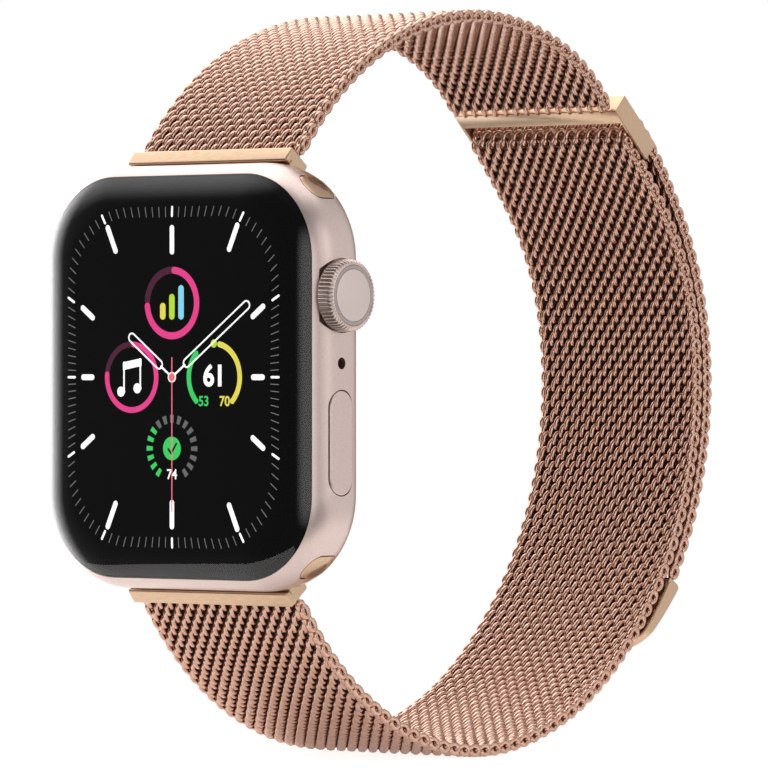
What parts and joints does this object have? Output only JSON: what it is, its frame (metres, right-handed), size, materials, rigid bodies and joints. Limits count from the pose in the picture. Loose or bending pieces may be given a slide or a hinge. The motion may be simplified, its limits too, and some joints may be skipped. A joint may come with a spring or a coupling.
{
  "type": "smartwatch",
  "caption": "Square smartwatch with a rounded metal case, domed black glass, crown and side button, on a woven metal loop strap with a magnetic clasp.",
  "frame": {"origin": "centre of the flat window of the back crystal, where the watch rests on the wrist", "axes": "+Y out of the back, into the wrist; -Y out of the dial; +Z to twelve o'clock; +X to the crown side"},
  "size_m": [0.0396, 0.079, 0.0795],
  "materials": {
    "rose_aluminium": "fine bead-blasted, rose-champagne anodised",
    "strap_steel": "woven wire, rose gold plated, satin",
    "gold_steel": "pale gold plated, polished satin",
    "plain_steel": "satin stainless steel",
    "magnet_nickel": "nickel plated",
    "copper": "enamelled copper",
    "black_glass": "polished",
    "black_ceramic": "polished",
    "screen": "dark display with a lit dial",
    "black_plastic": "moulded",
    "circuit": "solder mask",
    "battery_foil": "foil pouch",
    "seal_rubber": "moulded"
  },
  "bodies": {
    "watch_case": {"back_cover": "black_ceramic", "back_crystal": "black_glass", "back_seal": "seal_rubber", "battery": "battery_foil", "button_seal": "seal_rubber", "button_switch": "black_plastic", "case_body": "rose_aluminium", "charging_coil": "copper", "coil_shield": "plain_steel", "cover_glass": "black_glass", "crown_bush": "plain_steel", "crown_encoder": "black_plastic", "crown_seal": "seal_rubber", "crown_switch": "black_plastic", "display_flex": "copper", "display_gasket": "seal_rubber", "display_panel": "screen", "haptic_housing": "plain_steel", "haptic_screw_left": "plain_steel", "haptic_screw_right": "plain_steel", "main_board": "circuit", "microphone": "plain_steel", "microphone_mesh": "plain_steel", "processor_package": "black_plastic", "sensor_board": "circuit", "speaker_mesh": "plain_steel", "speaker_module": "black_plastic"},
    "haptic_weight": {"haptic_mass": "plain_steel"},
    "crown_carrier": {"crown_thrust_clip": "plain_steel"},
    "crown": {"crown_cap": "rose_aluminium", "crown_disc": "rose_aluminium", "crown_insulator": "black_plastic", "crown_shaft": "plain_steel"},
    "side_key": {"side_button": "rose_aluminium", "button_plunger": "plain_steel"},
    "release_top": {"release_button_top": "rose_aluminium"},
    "release_bottom": {"release_button_bottom": "rose_aluminium"},
    "band_top": {"lug_top": "gold_steel", "lug_pin_top": "plain_steel", "strap_top": "strap_steel", "buckle_frame": "gold_steel", "buckle_pin": "plain_steel"},
    "band_lower": {"lug_bottom": "gold_steel", "lug_pin_bottom": "plain_steel", "strap_lower": "strap_steel"},
    "catch_pin_top": {"catch_top": "plain_steel"},
    "catch_pin_bottom": {"catch_bottom": "plain_steel"},
    "flap": {"strap_flap": "strap_steel", "clasp_housing": "gold_steel", "clasp_back_plate": "gold_steel", "clasp_magnet_1": "magnet_nickel", "clasp_magnet_2": "magnet_nickel", "clasp_magnet_3": "magnet_nickel"}
  },
  "joints": [
    {"name": "crown_press", "type": "slide", "parent": "watch_case", "child": "crown_carrier", "axis": [-1, 0, 0], "range_m": [0, 0.0003], "stiffness_N_per_m": 1500},
    {"name": "crown_spin", "type": "hinge", "parent": "crown_carrier", "child": "crown", "pos_m": [0, -0.0059, 0.0083], "axis": [1, 0, 0], "continuous": true},
    {"name": "side_key_press", "type": "slide", "parent": "watch_case", "child": "side_key", "axis": [-1, 0, 0], "range_m": [0, 0.00025], "stiffness_N_per_m": 1500},
    {"name": "release_top_press", "type": "slide", "parent": "watch_case", "child": "release_top", "axis": [0, -1, 0], "range_m": [0, 0.0003], "stiffness_N_per_m": 1200},
    {"name": "release_bottom_press", "type": "slide", "parent": "watch_case", "child": "release_bottom", "axis": [0, -1, 0], "range_m": [0, 0.0003], "stiffness_N_per_m": 1200},
    {"name": "band_slide", "type": "slide", "parent": "watch_case", "child": "band_lower", "axis": [1, 0, 0], "range_m": [-0.034, 0.034]},
    {"name": "band_top_slide", "type": "slide", "parent": "watch_case", "child": "band_top", "axis": [1, 0, 0], "range_m": [-0.034, 0.034]},
    {"name": "catch_top_press", "type": "slide", "parent": "band_top", "child": "catch_pin_top", "axis": [0, -1, 0], "range_m": [0, 0.0003]},
    {"name": "catch_bottom_press", "type": "slide", "parent": "band_lower", "child": "catch_pin_bottom", "axis": [0, -1, 0], "range_m": [0, 0.0003]},
    {"name": "flap_lift", "type": "hinge", "parent": "band_lower", "child": "flap", "pos_m": [0, 0.05415, 0.0266], "axis": [1, 0, 0], "range_deg": [0, 60]},
    {"name": "haptic_shake", "type": "slide", "parent": "watch_case", "child": "haptic_weight", "axis": [1, 0, 0], "range_m": [-0.0008, 0.0008], "stiffness_N_per_m": 2000}
  ],
  "couplings": [
    {"joint": "band_top_slide", "follows": "band_slide", "ratio": 1},
    {"joint": "catch_top_press", "follows": "release_top_press", "ratio": 1},
    {"joint": "catch_bottom_press", "follows": "release_bottom_press", "ratio": 1}
  ]
}
